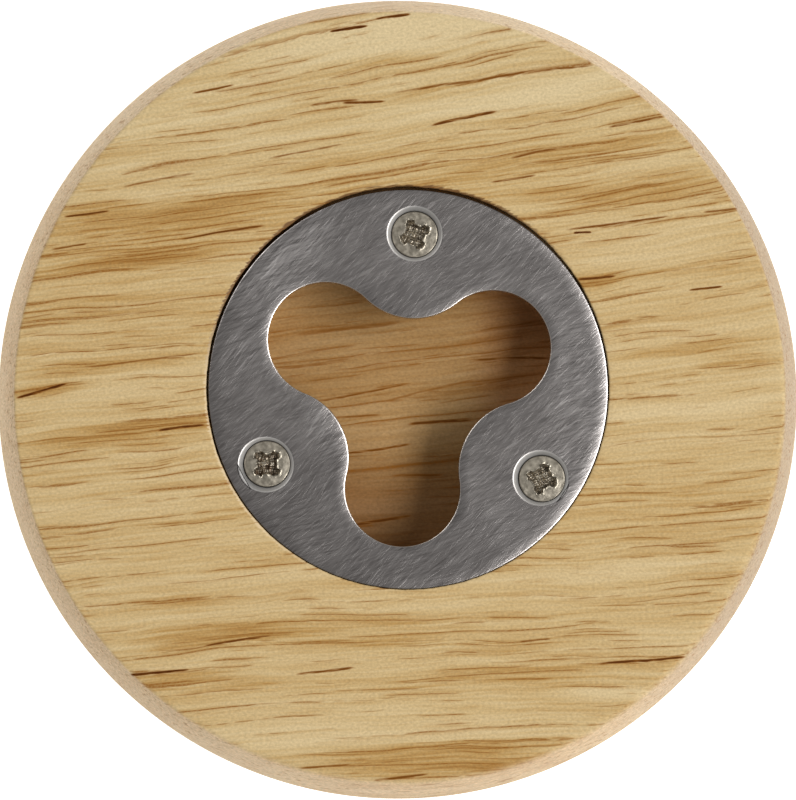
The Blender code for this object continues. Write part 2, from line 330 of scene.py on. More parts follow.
def wood_material(name):
    w = Nodes(name)
    p = w.pos()
    px, py, pz = w.sep(p)
    u, t, z = w.sep(w.mapping(p, rot=(0, 0, -GRAIN)))
    fan = w.math("MULTIPLY_ADD", w.math("MULTIPLY", u, t), -FAN, t)
    # gentle waves in the grain, long along it
    slow = w.noise(w.comb(w.math("MULTIPLY", u, 0.020), w.math("MULTIPLY", t, 0.05),
                          w.math("MULTIPLY", z, 0.05)), 1.0, 0.0)
    quick = w.noise(w.comb(w.math("MULTIPLY", u, 0.11), w.math("MULTIPLY", t, 0.30),
                           w.math("MULTIPLY", z, 0.30)), 1.0, 1.0, 0.5)
    near = w.math("MULTIPLY_ADD", w.math("SUBTRACT", quick, 0.5), 0.9, fan)
    across = w.math("MULTIPLY_ADD", w.math("SUBTRACT", slow, 0.5), 3.2, near)
    q = w.comb(u, across, z)

    # growth figure: wide, narrow and fine bands across the grain
    wide = w.noise(w.mapping(q, scale=(0.010, 0.16, 0.10)), 1.0, 1.0, 0.5)
    narrow = w.noise(w.mapping(q, loc=(7.0, 3.0, 1.0), scale=(0.030, 0.75, 0.50)), 1.0, 2.0, 0.6)
    fine = w.noise(w.mapping(q, loc=(2.0, 9.0, 4.0), scale=(0.10, 2.8, 2.8)), 1.0, 2.0, 0.6)
    band = w.math("ADD", w.math("MULTIPLY", w.math("SUBTRACT", wide, 0.5), 0.45),
                  w.math("MULTIPLY", w.math("SUBTRACT", narrow, 0.5), 0.85))
    band = w.math("ADD", band, 0.28)
    figure_at = w.comb(u, near, z)
    for along, over, length, width, dark in FIGURE:
        d = w.mapping(figure_at, loc=(along, over * (1 - FAN * along), TOP - 1.0),
                      scale=(length, width, 9.0), kind="TEXTURE")
        inside = w.ramp(w.vmath("LENGTH", d), 1.35, 0.15, 0.0, dark * 0.46)
        band = w.math("ADD", inside, band)
    band = w.math("MAXIMUM", band, 0.0)
    fibre = w.math("SUBTRACT", fine, 0.5)
    band = w.math("MULTIPLY_ADD", w.math("MULTIPLY", fibre, w.math("ADD", band, 0.30)),
                  1.35, band, clamp=True)

    nz = w.math("ABSOLUTE", w.sep(w.normal())[2])
    side = w.math("MULTIPLY", w.ramp(nz, 0.990, 0.45), w.ramp(w.vmath("LENGTH", w.comb(px, py, 0.0)),
                                                            30.0, 31.0))
    band = w.math("MULTIPLY_ADD", w.math("MULTIPLY", fibre, side), 0.55, band, clamp=True)

    # vessels: long thin lines that come and go, thickest where the board is brown, each in
    # a soft halo of stained fibre
    broken = w.noise(w.mapping(q, loc=(1.0, 6.0, 2.0), scale=(0.60, 5.0, 5.0)), 1.0, 1.0, 0.5)
    ragged = w.math("SUBTRACT", broken, 0.5)
    lines, halo = None, None
    for seed, rate, tilt, lean, length, lo, width, amount in (
            ((4.0, 4.0, 9.0), 0.85, 0.0, 0.55, 0.055, 0.485, 0.145, 1.00),
            ((8.0, 1.0, 3.0), 1.45, 0.022, 0.65, 0.120, 0.510, 0.110, 0.95),
            ((2.0, 7.0, 5.0), 1.15, -0.018, 0.45, 0.080, 0.515, 0.130, 1.00)):
        v = w.math("MULTIPLY_ADD", z, lean, w.math("MULTIPLY_ADD", u, tilt, across))
        cell = w.comb(u, v, z)
        stray = w.noise(w.mapping(cell, loc=seed, scale=(0.020, 0.38, 0.38)), 1.0, 0.0)
        v = w.math("MULTIPLY_ADD", stray, 2.2, w.math("MULTIPLY", v, rate))
        off = w.math("DIVIDE", w.math("PINGPONG", v, 0.5), rate)
        off = w.math("ADD", off, w.math("ABSOLUTE", w.math("MULTIPLY", ragged, 0.16)))
        present = w.noise(w.mapping(cell, loc=seed, scale=(length, 0.9, 0.9)), 1.0, 1.0, 0.5)
        present = w.math("ADD", present, w.math("MULTIPLY_ADD", band, 0.30, -0.12))
        here = w.ramp(w.math("MULTIPLY_ADD", ragged, 0.28, present), lo, lo + 0.16)
        full = w.math("MULTIPLY", here, width)
        line = w.math("MULTIPLY", w.ramp(off, full, w.math("MULTIPLY", full, 0.25)), amount)
        line = w.math("MULTIPLY", line, w.math("MULTIPLY_ADD", here, 0.6, 0.4))
        glow = w.math("MULTIPLY", w.ramp(off, 0.42, 0.04), w.math("MULTIPLY", here, amount))
        lines = line if lines is None else w.math("MAXIMUM", lines, line)
        halo = glow if halo is None else w.math("MAXIMUM", halo, glow)
    speck = w.noise(w.mapping(p, scale=(3.2, 4.4, 4.4)), 1.0, 1.0, 0.6)
    lines = w.math("MULTIPLY", lines, w.ramp(speck, 0.36, 0.58, 0.48, 1.0, smooth=False))
    # on the sides the same vessels are fine lines along the grain and dots across it
    calm = w.math("MULTIPLY_ADD", side, -0.80, 1.0)
    lines = w.math("MULTIPLY", lines, calm)
    halo = w.math("MULTIPLY", halo, calm)
    vessel = w.noise(w.comb(w.math("MULTIPLY", u, 0.22), w.math("MULTIPLY", t, 3.0),
                            w.math("MULTIPLY", z, 3.0)), 1.0, 1.0, 0.5)
    vessel = w.math("MULTIPLY", w.ramp(vessel, 0.60, 0.72), w.math("MULTIPLY", side, 0.55))
    lines = w.math("MAXIMUM", lines, vessel)

    tone = w.tree.nodes.new("ShaderNodeValToRGB")
    tone.color_ramp.interpolation = "LINEAR"
    stops = ((0.0, (0.615, 0.470, 0.255)), (0.30, (0.545, 0.388, 0.182)),
             (0.62, (0.455, 0.280, 0.100)), (1.0, (0.330, 0.165, 0.042)))
    ramp = tone.color_ramp
    ramp.elements[0].position, ramp.elements[0].color = stops[0][0], (*stops[0][1], 1.0)
    ramp.elements[1].position, ramp.elements[1].color = stops[3][0], (*stops[3][1], 1.0)
    for at, c in stops[1:3]:
        e = ramp.elements.new(at)
        e.color = (*c, 1.0)
    w._in(tone.inputs[0], band)
    colour = tone.outputs[0]
    colour = w.mix(w.math("MULTIPLY", halo, 0.46), colour, (0.385, 0.200, 0.050))

    # sides cut across the fibres are paler and pinker, most of all near the arris; the paleness is
    # partly a painted sheen of the white surroundings, and towards +X the rim is painted darker, as
    # painted shade against the key lamp on the right
    shade = w.ramp(px, 16.0, 36.0, 0.0, 1.0)
    pink = w.mix(shade, (0.700, 0.520, 0.352), (0.430, 0.325, 0.225))
    tint = w.math("MULTIPLY", side, w.math("MULTIPLY_ADD", shade, 0.25, 0.58))
    tint = w.math("MULTIPLY", tint, w.ramp(nz, 0.03, 0.25, 0.45, 1.0))
    colour = w.mix(tint, colour, pink)

    # fibre speckle, coarser on the sides
    dust = w.ramp(speck, 0.25, 0.75, 0.85, 1.13, smooth=False)
    dust = w.math("MULTIPLY_ADD", w.math("MULTIPLY", side, w.math("SUBTRACT", speck, 0.5)),
                  0.20, dust)
    colour = w.mix(1.0, colour, w.comb(dust, dust, dust), "MULTIPLY")

    # the board is a little paler towards the top
    colour = w.mix(w.ramp(py, 12.0, 30.0), colour,
                   w.mix(1.0, colour, (1.03, 1.06, 1.10), "MULTIPLY"))

    # painted shade in the pocket: the wood below the plate is painted darker and browner than the
    # face, most towards +X where the plate's right edge shades it, and towards the bottom
    below = w.ramp(pz, TOP - PLATE_T + 0.3, TOP - PLATE_T - 0.3)
    painted_pocket_shade = w.math("MULTIPLY", below, w.ramp(w.vmath("LENGTH", w.comb(px, py, 0.0)), 31.0, 30.0))
    pocket_shade_tint = w.mix(w.ramp(px, 6.0, 11.5), (0.69, 0.57, 0.47), (0.74, 0.515, 0.405))
    pocket_shade_tint = w.mix(w.ramp(py, -2.0, -11.0), pocket_shade_tint, (0.48, 0.345, 0.265))
    colour = w.mix(painted_pocket_shade, colour, w.mix(1.0, colour, pocket_shade_tint, "MULTIPLY"))

    # torn, darkened fibres at the edge of the seat, with painted shade down the gap between seat
    # wall and plate on the upper side, and a painted highlight on the left edge, which faces the key
    # lamp
    from_seat = w.vmath("LENGTH", w.vmath("SUBTRACT", w.comb(px, py, 0.0),
                                          (SEAT_C[0], SEAT_C[1], 0.0)))
    # painted shade in the gap on the upper side, over the torn brown fibres there
    seat = w.math("MULTIPLY", w.ramp(w.math("MULTIPLY_ADD", ragged, 0.75, from_seat),
                                     SEAT_R + 0.30, SEAT_R + 0.14),
                  w.ramp(from_seat, SEAT_R - 0.3, SEAT_R - 0.2))
    high = w.ramp(w.math("MULTIPLY_ADD", px, -0.30, py), 6.0, 17.0, 0.0, 0.92)
    # painted highlight: paler wood along the ragged seat edge on the left, where it catches the key
    # lamp
    seat_edge_highlight = w.math("MULTIPLY", w.ramp(w.math("MULTIPLY_ADD", ragged, 0.6, from_seat),
                                       SEAT_R + 0.32, SEAT_R + 0.12),
                    w.ramp(from_seat, SEAT_R - 0.02, SEAT_R + 0.04))
    seat_edge_highlight = w.math("MULTIPLY", seat_edge_highlight, w.ramp(px, -6.0, -15.0, 0.0, 0.60))
    seat_edge_highlight = w.math("MULTIPLY", seat_edge_highlight, w.ramp(pz, TOP - 0.3, TOP - 0.05))
    colour = w.mix(seat_edge_highlight, colour, (0.760, 0.600, 0.390))
    colour = w.mix(w.math("MULTIPLY", seat, high), colour, (0.145, 0.068, 0.024))

    # the pores themselves
    deep = None
    at = w.comb(px, w.math("MULTIPLY_ADD", ragged, 0.14,
                           w.math("MULTIPLY_ADD", w.math("SUBTRACT", quick, 0.5), 0.7, py)), pz)
    for x, y, length, width, turn, dark, level in \
            [p + (TOP,) for p in PORES] + \
            [p[:2] + (p[2] * 1.2, p[3], p[4], p[5] * 0.72, POCKET_FLOOR) for p in FLOOR_PORES]:
        d = w.mapping(at, loc=(x, y, level), rot=(0, 0, math.radians(turn)),
                      scale=(length * 1.1, width, 0.45), kind="TEXTURE")
        dx, dy, dz = w.sep(d)
        dx = w.math("MULTIPLY", dx, dx)
        hit = w.ramp(w.vmath("LENGTH", w.comb(w.math("MULTIPLY", dx, dx), dy, dz)),
                     1.45, 0.35, 0.0, dark)
        deep = hit if deep is None else w.math("MAXIMUM", deep, hit)
    deep = w.math("MULTIPLY", deep, w.ramp(broken, 0.30, 0.56, 0.55, 1.0))
    stain = w.math("MAXIMUM", w.math("MULTIPLY", lines, 0.86),
                   w.math("MULTIPLY", deep, 1.9, clamp=True))
    colour = w.mix(stain, colour, (0.235, 0.085, 0.010))
    colour = w.mix(w.ramp(deep, 0.30, 0.95), colour, (0.070, 0.016, 0.001))

    rough = w.math("MULTIPLY_ADD", w.math("MAXIMUM", lines, deep), 0.22,
                   w.ramp(speck, 0.3, 0.7, 0.52, 0.60, smooth=False))
    height = w.noise(w.mapping(p, rot=(0, 0, -GRAIN), scale=(1.6, 6.0, 6.0)), 1.0, 1.0, 0.6)
    return w.set(Base_Color=colour, Roughness=rough, Metallic=0.0, IOR=1.46,
                 Specular_IOR_Level=0.08, Normal=w.bump(height, 0.45, 0.04))


# ---- steel ---------------------------------------------------------------------------
def brushed(w, p, angle, scale, seed, detail=2.0):
    """Noise drawn out along an angle, about 0 in the mean."""
    v = w.mapping(w.mapping(p, rot=(0, 0, -math.radians(angle))), loc=seed, scale=scale)
    return w.math("SUBTRACT", w.noise(v, 1.0, detail, 0.65), 0.5)


def steel_material(name):
    w = Nodes(name)
    p = w.pos()
    px, py, pz = w.sep(p)
    warp = w.vmath("MULTIPLY", w.vmath("SUBTRACT", w.noise(p, 0.12, 1.0, 0.5, colour=True),
                                       (0.5, 0.5, 0.5)), (2.0, 2.0, 0.0))
    v = w.vmath("ADD", p, warp)
    # crossing passes of a coarse pad, mostly up to the right
    brush = w.math("ADD", brushed(w, v, 44.0, (0.42, 8.6, 0.3), (0, 0, 0)),
                   w.math("MULTIPLY", brushed(w, v, 20.0, (0.36, 7.4, 0.3), (5, 1, 2)), 0.85))
    scratch = None
    for angle, scale, seed, lo, amount in (
            (47.0, (0.32, 8.0, 0.3), (9, 4, 1), 0.135, 1.0),
            (31.0, (0.24, 7.5, 0.3), (3, 8, 5), 0.14, 0.9),
            (68.0, (0.48, 6.5, 0.3), (6, 2, 7), 0.18, 0.7),
            (4.0, (0.35, 6.5, 0.3), (2, 7, 6), 0.18, 0.6),
            (52.0, (0.50, 12.0, 0.3), (1, 5, 8), 0.13, 0.8)):
        h = w.ramp(brushed(w, v, angle, scale, seed, 1.0), lo, lo + 0.13, 0.0, amount)
        scratch = h if scratch is None else w.math("MAXIMUM", scratch, h)
    mottle = w.math("SUBTRACT", w.noise(p, 0.30, 2.0, 0.6), 0.5)
    # lighter patches, with stronger brushing and scratches: the upper left of the ring, its right
    # side and top, and a tooth's tip
    lighter_patch = None
    for x, y, turn, long, short, amount in (
            (-12.4, 13.0, 47.0, 8.0, 3.0, 1.25), (-15.6, 6.0, 80.0, 4.5, 2.4, 0.55),
            (16.5, -3.0, 92.0, 15.0, 4.5, 0.62), (0.0, 19.0, 0.0, 9.0, 1.2, 0.45),
            (-8.3, -4.6, 118.0, 4.2, 1.6, 0.85)):
        d = w.mapping(p, loc=(PLATE_C[0] + x, PLATE_C[1] + y, TOP),
                      rot=(0, 0, math.radians(turn)), scale=(long, short, 20.0), kind="TEXTURE")
        d = w.ramp(w.vmath("LENGTH", d), 1.25, 0.2, 0.0, amount)
        lighter_patch = d if lighter_patch is None else w.math("MAXIMUM", lighter_patch, d)
    tone = w.math("MULTIPLY", brush, w.math("MULTIPLY_ADD", lighter_patch, 0.50, 0.60))
    tone = w.math("MULTIPLY_ADD", mottle, 0.24, tone)
    tone = w.math("MULTIPLY_ADD", scratch, w.math("MULTIPLY_ADD", lighter_patch, 0.18, 0.19), tone)
    tone = w.math("MULTIPLY_ADD", lighter_patch, 0.12, tone)
    # the plate is a little darker towards the lower left
    darker_lower_left = w.ramp(w.math("MULTIPLY_ADD", px, 0.5, py), -6.0, -15.0, 0.0, 0.065)
    tone = w.math("SUBTRACT", tone, darker_lower_left)
    # the countersinks are duller, and painted shade darkens them close round the heads, in the gap
    # under each head's rim
    sink, painted_shade = None, None
    for name, (x, y) in SCREWS.items():
        flat = w.comb(px, py, 0.0)
        away = w.vmath("LENGTH", w.vmath("SUBTRACT", flat, (x, y, 0.0)))
        d = w.ramp(away, SINK_R + 0.10, SINK_R - 0.05)
        away = w.vmath("LENGTH", w.vmath("SUBTRACT", flat, (*SCREW_HEADS[name], 0.0)))
        k = w.ramp(away, HEAD_R + 0.14, HEAD_R + 0.04)
        sink = d if sink is None else w.math("MAXIMUM", sink, d)
        painted_shade = k if painted_shade is None else w.math("MAXIMUM", painted_shade, k)
    tone = w.math("ADD", tone, 0.248, clamp=True)
    colour = w.mix(tone, (0.180, 0.163, 0.155), (0.760, 0.715, 0.690))
    # painted highlight: paler steel on the sloped margins and broken corners round the mouth and
    # countersinks, for the catch light along those edges
    nz = w.sep(w.normal())[2]
    painted_edge_highlight = w.math("MULTIPLY", w.ramp(nz, 0.982, 0.930), w.ramp(nz, 0.15, 0.45))
    inner = w.vmath("LENGTH", w.vmath("SUBTRACT", w.comb(px, py, 0.0), (*PLATE_C, 0.0)))
    painted_edge_highlight = w.math("MULTIPLY", painted_edge_highlight, w.ramp(inner, 18.5, 17.5))
    colour = w.mix(w.math("MULTIPLY", painted_edge_highlight, 0.70), colour, (0.860, 0.790, 0.720))
    colour = w.mix(w.math("MULTIPLY", sink, 0.8), colour, (0.500, 0.490, 0.470))
    # painted shade in the gap round each head
    colour = w.mix(w.math("MULTIPLY", painted_shade, 0.9), colour, (0.030, 0.024, 0.018))
    rough = w.math("MULTIPLY_ADD", sink, 0.28, w.ramp(tone, 0.1, 0.9, 0.26, 0.31, smooth=False))
    metal = w.math("MULTIPLY_ADD", sink, -0.20, 1.0)
    height = w.math("MULTIPLY_ADD", brush, 0.8, scratch)
    return w.set(Base_Color=colour, Metallic=metal, Roughness=rough,
                 Normal=w.bump(height, 0.12, 0.03))


def nickel_material(name, centre, painted_shade):
    w = Nodes(name)
    p = w.pos()
    local = w.vmath("SUBTRACT", p, (centre[0], centre[1], HEAD_Z))
    x, y, z = w.sep(local)
    r = w.vmath("LENGTH", w.comb(x, y, 0.0))
    turned = w.noise(w.comb(w.math("MULTIPLY", r, 7.0), w.math("MULTIPLY", z, 3.0), 0.0),
                     1.0, 3.0, 0.7)
    grime = w.noise(local, 1.6, 3.0, 0.65)
    tone = w.math("MULTIPLY_ADD", w.math("SUBTRACT", grime, 0.5), 1.1, 0.42)
    tone = w.math("MULTIPLY_ADD", w.math("SUBTRACT", turned, 0.5), 0.30, tone, clamp=True)
    colour = w.mix(tone, (0.230, 0.200, 0.152), (0.500, 0.455, 0.375))
    # painted shade: a dark ring round the rim, fading out towards the lower right where the key lamp
    # lights it; painted shade and dirt make it dull and brown down in the recess and on the shank
    ring = w.math("MULTIPLY", w.ramp(r, HEAD_R - 0.16, HEAD_R - 0.02),
                  w.ramp(w.math("ADD", x, w.math("MULTIPLY", y, -0.6)), 2.2, 0.2))
    colour = w.mix(w.math("MULTIPLY", ring, 0.45), colour, (0.110, 0.085, 0.060))
    depth = w.ramp(z, -0.12, -0.60)
    colour = w.mix(w.math("MULTIPLY", depth, w.ramp(grime, 0.35, 0.60, painted_shade, painted_shade * 0.1)), colour,
                   (0.150, 0.105, 0.070))
    rough = w.ramp(grime, 0.3, 0.7, 0.27, 0.42)
    height = w.math("MULTIPLY_ADD", turned, 0.4, grime)
    return w.set(Base_Color=colour, Metallic=0.88, Roughness=rough,
                 Normal=w.bump(height, 0.35, 0.05))


# ---- wooden disc ---------------------------------------------------------------------
def pocket_radius(a, grow=0.0):
    core, lobe = POCKET_CORE_R + grow, POCKET_LOBE_R + grow
    r = np.full_like(a, core)
    for degrees in LOBES:
        d = (a - math.radians(degrees) - TURN + np.pi) % (2 * np.pi) - np.pi
        root = lobe ** 2 - (LOBE_OUT * np.sin(d)) ** 2
        reach = np.where((root > 0) & (np.cos(d) > 0),
                         LOBE_OUT * np.cos(d) + np.sqrt(np.maximum(root, 0)), 0.0)
        # the cutter's own radius rounds the corner where two bores meet
        k = 0.45
        h = np.clip(0.5 + 0.5 * (reach - r) / k, 0, 1)
        r = r * (1 - h) + reach * h + k * h * (1 - h)
    return r


def build_wood(mat):
    n = 1080
    a = 2 * np.pi * np.arange(n) / n
    half = TOP / 2
    run = DISC_R - FACE_R
    bow = (run ** 2 + half ** 2) / (2 * run)
    slope = math.asin(half / bow)                     # side's lean at the arris
    # the arris is hand-sanded, most heavily along the lower right
    edge = 0.42 + 0.85 * np.clip(np.cos(a + math.radians(62.0)) * 1.5 - 0.35, 0, 1) ** 1.5
    edge = edge + ring_noise(n, 5, ((14, 0.06), (40, 0.03)))
    wear = ring_noise(n, 3, ((90, 0.018), (260, 0.016)))
    # arc of radius `edge` tangent to the face and to the side
    psi = math.pi / 2 - slope                         # angle between the two normals
    back = edge * math.tan(psi / 2)
    cx, cz = FACE_R - back, TOP - edge
    upper = []
    for k in range(9):
        t = math.pi / 2 - psi * k / 8
        upper.append((cx + edge * math.cos(t), cz + edge * math.sin(t)))
    side = []
    z_from = TOP - 1.7
    for k in range(28):
        z = z_from + (TOP - z_from * 2) * k / 27
        side.append((DISC_R - bow + math.sqrt(bow ** 2 - (z - half) ** 2), z))
    lower = [(r, TOP - z) for r, z in reversed(upper)]
    rings = [circle((0, 0), 12.0, 0.0, n), circle((0, 0), 26.0, 0.0, n),
             circle((0, 0), FACE_R - 2.0, 0.0, n)]
    for r, z in reversed(lower):
        rings.append(circle((0, 0), r - 0.4 * np.abs(wear), z, n))
    for r, z in reversed(side):
        rings.append(circle((0, 0), r, z, n))
    for r, z in reversed(upper):
        rings.append(circle((0, 0), r + wear, z, n))
    rings.append(circle((0, 0), FACE_R - 2.0, TOP, n))
    rings.append(circle((SEAT_C[0] * 0.3, SEAT_C[1] * 0.3), 33.0, TOP, n))
    rings.append(circle((SEAT_C[0] * 0.7, SEAT_C[1] * 0.7), 26.0, TOP, n))
    # Seat mouth: the cutter leaves a furred, nibbled edge, roughest where the fibres are cut
    # across and where the plate leaves room.
    across = np.abs(np.sin(a - GRAIN))
    fur = ring_noise(n, 11, ((60, 0.035), (170, 0.045), (420, 0.040)))
    chips = np.clip(ring_noise(n, 12, ((130, 1.0),)) - 0.45, 0, 1) * 0.16
    open_side = np.clip(np.cos(a - math.radians(110.0)), 0, 1)
    mouth = SEAT_R + (fur + chips) * (0.35 + 0.65 * open_side) * (0.6 + 0.4 * across)
    mouth = np.maximum(mouth, SEAT_R - 0.06)
    dip = np.abs(ring_noise(n, 13, ((150, 0.05), (380, 0.03))))
    rings.append(circle(SEAT_C, mouth + 0.55, TOP, n))
    rings.append(circle(SEAT_C, mouth + 0.16, TOP - 0.004, n))
    rings.append(circle(SEAT_C, mouth + 0.06, TOP - 0.03 - 0.5 * dip, n))
    rings.append(circle(SEAT_C, mouth, TOP - 0.12 - dip, n))
    wall = SEAT_R + 0.3 * fur
    rings.append(circle(SEAT_C, wall, TOP - 0.5, n))
    rings.append(circle(SEAT_C, SEAT_R, TOP - 1.2, n))
    floor = TOP - PLATE_T - 0.015
    rings.append(circle(SEAT_C, SEAT_R, floor + 0.12, n))
    rings.append(circle(SEAT_C, SEAT_R - 0.12, floor, n))
    rings.append(circle(SEAT_C, SEAT_R - 0.5, floor, n))
    # pocket under the mouth
    lip = pocket_radius(a)
    nib = ring_noise(n, 21, ((80, 0.03), (300, 0.03)))
    rings.append(circle(PATTERN_C, lip + 0.35, floor, n))
    rings.append(circle(PATTERN_C, lip + 0.10 + 0.5 * nib, floor - 0.02, n))
    rings.append(circle(PATTERN_C, lip + nib, floor - 0.15, n))
    for z in np.linspace(floor - 0.8, POCKET_FLOOR + 0.5, 5):
        rings.append(circle(PATTERN_C, lip, z, n))
    for k in range(1, 6):
        t = math.pi / 2 * k / 5
        rings.append(circle(PATTERN_C, lip - 0.5 * (1 - math.cos(t)),
                            POCKET_FLOOR + 0.5 * (1 - math.sin(t)), n))
    for f in (0.9, 0.6, 0.3):
        rings.append(circle(PATTERN_C, (lip - 0.5) * f, POCKET_FLOOR, n))
    verts, faces = skin(rings)
    ob = mesh_object("wood_disc", verts, faces, mat, sharp=50)
    # blind pilot holes for the three screws
    for name, (x, y) in SCREW_HEADS.items():
        tip = HEAD_Z - SCREW_LEN
        prof = [(0.25, tip - 0.1), (0.80, tip + 1.6), (1.05, tip + 2.8), (1.05, floor + 0.6)]
        pv, pf = skin([circle((x, y), r, z, 24) for r, z in prof])
        cutter = mesh_object("tmp_" + name, pv, pf, mat)
        mod = ob.modifiers.new("pilot", "BOOLEAN")
        mod.operation, mod.solver, mod.object = "DIFFERENCE", "EXACT", cutter
        dg = bpy.context.evaluated_depsgraph_get()
        cut = bpy.data.meshes.new_from_object(ob.evaluated_get(dg))
        ob.modifiers.clear()
        old, ob.data = ob.data, cut
        bpy.data.meshes.remove(old)
        bpy.data.objects.remove(cutter)
    ob.data.name = "wood_disc"
    return ob


# ---- steel plate ---------------------------------------------------------------------
def mouth_loop(grow, lobe_steps=64, tooth_steps=36):
    """The mouth's outline moved outwards by grow: lobes widen, teeth thin."""
    reach = LOBE_R + TOOTH_R
    half = math.radians(60)
    out = LOBE_OUT * math.cos(half) + math.sqrt(reach ** 2 - (LOBE_OUT * math.sin(half)) ** 2)
    beta = math.atan2(out * math.sin(half), out * math.cos(half) - LOBE_OUT)
    pts = []
    for degrees in LOBES:
        axis = math.radians(degrees) + TURN
        lx, ly = LOBE_OUT * math.cos(axis), LOBE_OUT * math.sin(axis)
        for k in range(lobe_steps):
            t = axis - beta + 2 * beta * k / lobe_steps
            pts.append((lx + (LOBE_R + grow) * math.cos(t), ly + (LOBE_R + grow) * math.sin(t)))
        t_axis = axis + half
        tx, ty = out * math.cos(t_axis), out * math.sin(t_axis)
        start = axis + beta + math.pi
        end = t_axis + math.pi + (t_axis + math.pi - start)
        for k in range(tooth_steps):
            t = start + (end - start) * k / tooth_steps
            pts.append((tx + (TOOTH_R - grow) * math.cos(t), ty + (TOOTH_R - grow) * math.sin(t)))
    p = np.array(pts)
    return p + np.array(PATTERN_C)


def crowned(reach, degrees, steps, corner=0.05):
    """Gently rounded margin ending in a broken corner: (distance back, drop)."""
    rise = math.radians(degrees)
    pts = []
    for k in range(steps + 1):
        f = k / steps
        pts.append((corner + reach * (1 - f), reach * math.tan(rise) * f ** 2.2 / 2.2))
    drop = pts[-1][1]
    return pts + [(corner * 0.3, drop + corner * 0.5), (0.0, drop + corner * 1.4)]


def rolled(depth, reach, steps):
    """Rolled-over stamped edge: (distance back from the edge, drop) from face to wall."""
    return [(reach * (1 - math.sin(math.pi / 2 * k / steps)),
             depth * (1 - math.cos(math.pi / 2 * k / steps))) for k in range(steps + 1)]


def build_plate(mat):
    verts, faces = [], []
    bottom, top = TOP - PLATE_T, TOP - 0.01

    def add_ring(xy, z):
        base = len(verts)
        z = np.broadcast_to(z, (len(xy),))
        verts.extend((x, y, h) for (x, y), h in zip(xy, z))
        return list(range(base, base + len(xy)))

    def join(a, b):
        for k in range(len(a)):
            m = (k + 1) % len(a)
            faces.append((a[k], a[m], b[m], b[k]))

    def outer(back):
        n = 540
        t = 2 * np.pi * np.arange(n) / n
        r = PLATE_R - back
        return np.stack([PLATE_C[0] + r * np.cos(t), PLATE_C[1] + r * np.sin(t)], 1)

    def chain(make, profile_top, profile_bottom, lift=1.0):
        """Rings from a flat support loop on top, round both edges, to one underneath."""
        rings = []
        flat = profile_top[0][0] + 0.06
        rings.append(add_ring(make(flat), top))
        for back, drop in profile_top:
            rings.append(add_ring(make(back), top - drop * lift))
        for back, drop in reversed(profile_bottom):
            rings.append(add_ring(make(back), bottom + drop))
        rings.append(add_ring(make(profile_bottom[0][0] + 0.06), bottom))
        for a, b in zip(rings, rings[1:]):
            join(a, b)
        return rings[0], rings[-1]

    edge_top = crowned(1.25, 8.3, 12, 0.03)
    edge_low = rolled(0.05, 0.05, 2)
    loops = []
    round_top = np.clip(np.sin(2 * np.pi * np.arange(540) / 540 + 0.15), 0, 1) ** 2
    loops.append(chain(outer, edge_top, edge_low, 1.0 + 0.5 * round_top))
    mouth_top = crowned(0.95, 8.1, 12)
    base = mouth_loop(0.0)
    away = (mouth_loop(0.1) - base) / 0.1
    # the tooth on the left is rubbed back further than the others
    tip = np.array(PATTERN_C) + 6.4 * np.array([math.cos(TURN + math.radians(-150)),
                                                math.sin(TURN + math.radians(-150))])
    worn = 1.0 + 0.75 * np.exp(-(np.hypot(*(base - tip).T) / 4.0) ** 2)
    loops.append(chain(lambda g: base + away * (g * worn)[:, None],
                       mouth_top, edge_low, worn))
    for name, (x, y) in SCREWS.items():
        n = 96
        t = 2 * np.pi * np.arange(n) / n
        # countersink: a tiny broken edge, the 45 degree cone, the straight hole
        prof = [(SINK_R + 0.16, 0.0), (SINK_R + 0.11, 0.0)]
        for k in range(1, 7):
            prof.append((SINK_R + 0.11 - 0.04 * k, 0.106 * (k / 6) ** 2.1))
        prof += [(SINK_R - 0.4, 0.385), (HOLE_R + 0.02, SINK_R - HOLE_R),
                (HOLE_R, SINK_R - HOLE_R + 0.04), (HOLE_R, PLATE_T - 0.06),
                (HOLE_R + 0.05, PLATE_T - 0.01), (HOLE_R + 0.12, PLATE_T - 0.01)]
        rings = []
        for r, drop in prof:
            xy = np.stack([x + r * np.cos(t), y + r * np.sin(t)], 1)
            rings.append(add_ring(xy, top - drop))
        for a, b in zip(rings, rings[1:]):
            join(a, b)
        loops.append((rings[0], rings[-1]))

    bm = bmesh.new()
    bv = [bm.verts.new(Vector(v) * MM) for v in verts]
    for f in faces:
        bm.faces.new([bv[i] for i in f])
    bm.edges.ensure_lookup_table()
    for side in (0, 1):
        edges = []
        for pair in loops:
            ring = pair[side]
            for k in range(len(ring)):
                e = bm.edges.get((bv[ring[k]], bv[ring[(k + 1) % len(ring)]]))
                edges.append(e)
        bmesh.ops.triangle_fill(bm, use_beauty=True, use_dissolve=False, edges=edges)
    bmesh.ops.recalc_face_normals(bm, faces=bm.faces[:])
    mesh = bpy.data.meshes.new("steel_plate")
    bm.to_mesh(mesh)
    bm.free()
    ob = bpy.data.objects.new("steel_plate", mesh)
    bpy.context.scene.collection.objects.link(ob)
    mesh.materials.append(mat)
    mesh.shade_smooth()
    mesh.set_sharp_from_angle(angle=math.radians(40))
    return ob


